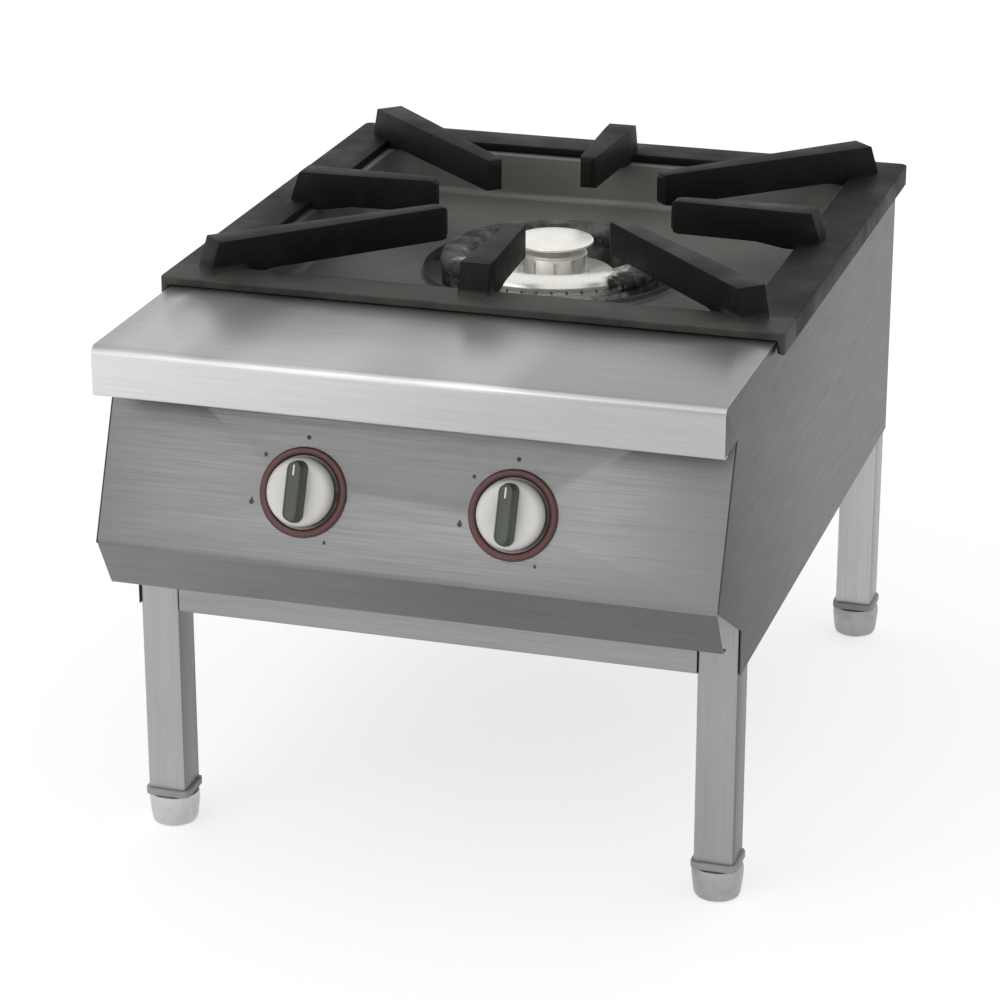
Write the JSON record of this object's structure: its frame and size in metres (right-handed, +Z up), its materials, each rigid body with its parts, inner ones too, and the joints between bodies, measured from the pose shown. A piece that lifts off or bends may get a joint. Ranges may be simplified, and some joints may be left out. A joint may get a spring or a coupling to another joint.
{
  "type": "stock pot range",
  "caption": "Low gas stock pot range: cast pan support over a ring burner, stainless body, inclined control panel, square legs on levelling feet.",
  "frame": {"origin": "middle of the footprint, on the floor", "axes": "+X to the cook's right, +Y to the back, +Z up"},
  "size_m": [0.62, 0.8478, 0.5701],
  "materials": {
    "brushed_sheet": "satin",
    "bright_sheet": "polished",
    "foot_insert": "matt",
    "galvanised": "satin",
    "black_enamel": "satin",
    "cast_iron": "rough",
    "burner_alloy": "satin",
    "brass": "satin",
    "copper": "satin",
    "knob_silver": "satin",
    "knob_grip": "matt",
    "bezel_red": "satin"
  },
  "bodies": {
    "range": {"control_panel": "brushed_sheet", "side_panel_left": "brushed_sheet", "side_panel_right": "brushed_sheet", "leg_front_left": "brushed_sheet", "leg_front_right": "brushed_sheet", "leg_rear_left": "brushed_sheet", "leg_rear_right": "brushed_sheet", "base_rail_front": "brushed_sheet", "base_rail_rear": "brushed_sheet", "base_rail_left": "brushed_sheet", "base_rail_right": "brushed_sheet", "worktop": "bright_sheet", "foot_plug_front_left": "foot_insert", "foot_plug_front_right": "foot_insert", "foot_plug_rear_left": "foot_insert", "foot_plug_rear_right": "foot_insert", "back_panel": "galvanised", "burner_rail_left": "galvanised", "burner_rail_right": "galvanised", "burner_bracket_front": "galvanised", "burner_bracket_rear": "galvanised", "gas_manifold": "galvanised", "gas_inlet_elbow": "galvanised", "gas_inlet_pipe": "galvanised", "manifold_stand_left": "galvanised", "manifold_stand_right": "galvanised", "pilot_plate": "galvanised", "outer_burner": "cast_iron", "inner_burner": "burner_alloy", "pilot_tube": "burner_alloy", "gas_valve_left": "brass", "gas_valve_right": "brass", "injector_outer": "brass", "injector_inner": "brass", "pilot_burner": "brass", "supply_tube_outer": "copper", "supply_tube_inner": "copper", "flame_sensor": "copper", "bezel_left": "bezel_red", "bezel_right": "bezel_red"},
    "drip_tray": {"drip_tray": "brushed_sheet"},
    "pan_support": {"pan_support": "black_enamel"},
    "outer_burner_cap": {"outer_burner_cap": "cast_iron"},
    "inner_burner_cap": {"inner_burner_cap": "burner_alloy"},
    "air_shutter_outer": {"air_shutter_outer": "galvanised"},
    "air_shutter_inner": {"air_shutter_inner": "galvanised"},
    "levelling_foot_front_left": {"levelling_foot_front_left": "brushed_sheet"},
    "levelling_foot_front_right": {"levelling_foot_front_right": "brushed_sheet"},
    "levelling_foot_rear_left": {"levelling_foot_rear_left": "brushed_sheet"},
    "levelling_foot_rear_right": {"levelling_foot_rear_right": "brushed_sheet"},
    "push_collar_left": {"push_collar_left": "brass"},
    "knob_left": {"knob_left": "knob_silver", "knob_grip_left": "knob_grip", "spindle_left": "bright_sheet"},
    "push_collar_right": {"push_collar_right": "brass"},
    "knob_right": {"knob_right": "knob_silver", "knob_grip_right": "knob_grip", "spindle_right": "bright_sheet"}
  },
  "joints": [
    {"name": "level_front_left", "type": "slide", "parent": "range", "child": "levelling_foot_front_left", "axis": [0, 0, -1], "range_m": [0, 0.02]},
    {"name": "level_front_right", "type": "slide", "parent": "range", "child": "levelling_foot_front_right", "axis": [0, 0, -1], "range_m": [0, 0.02]},
    {"name": "level_rear_left", "type": "slide", "parent": "range", "child": "levelling_foot_rear_left", "axis": [0, 0, -1], "range_m": [0, 0.02]},
    {"name": "level_rear_right", "type": "slide", "parent": "range", "child": "levelling_foot_rear_right", "axis": [0, 0, -1], "range_m": [0, 0.02]},
    {"name": "push_left", "type": "slide", "parent": "range", "child": "push_collar_left", "axis": [0, 0.9272, -0.3746], "range_m": [0, 0.0035], "stiffness_N_per_m": 2000, "springref_m": -0.002},
    {"name": "turn_left", "type": "hinge", "parent": "push_collar_left", "child": "knob_left", "pos_m": [-0.101, -0.38062, 0.402], "axis": [0, -0.9272, 0.3746], "range_deg": [0, 210]},
    {"name": "push_right", "type": "slide", "parent": "range", "child": "push_collar_right", "axis": [0, 0.9272, -0.3746], "range_m": [0, 0.0035], "stiffness_N_per_m": 2000, "springref_m": -0.002},
    {"name": "turn_right", "type": "hinge", "parent": "push_collar_right", "child": "knob_right", "pos_m": [0.101, -0.38062, 0.402], "axis": [0, -0.9272, 0.3746], "range_deg": [0, 210]},
    {"name": "lift_drip_tray", "type": "slide", "parent": "range", "child": "drip_tray", "axis": [0, 0, 1], "range_m": [0, 0.1]},
    {"name": "lift_pan_support", "type": "slide", "parent": "drip_tray", "child": "pan_support", "axis": [0, 0, 1], "range_m": [0, 0.1]},
    {"name": "lift_outer_cap", "type": "slide", "parent": "range", "child": "outer_burner_cap", "axis": [0, 0, 1], "range_m": [0, 0.09]},
    {"name": "lift_inner_cap", "type": "slide", "parent": "range", "child": "inner_burner_cap", "axis": [0, 0, 1], "range_m": [0, 0.09]},
    {"name": "air_outer", "type": "hinge", "parent": "range", "child": "air_shutter_outer", "pos_m": [-0.098, -0.18737, 0.425], "axis": [0, 1, 0], "range_deg": [0, 45]},
    {"name": "air_inner", "type": "hinge", "parent": "range", "child": "air_shutter_inner", "pos_m": [0, -0.18737, 0.425], "axis": [0, 1, 0], "range_deg": [0, 45]}
  ]
}
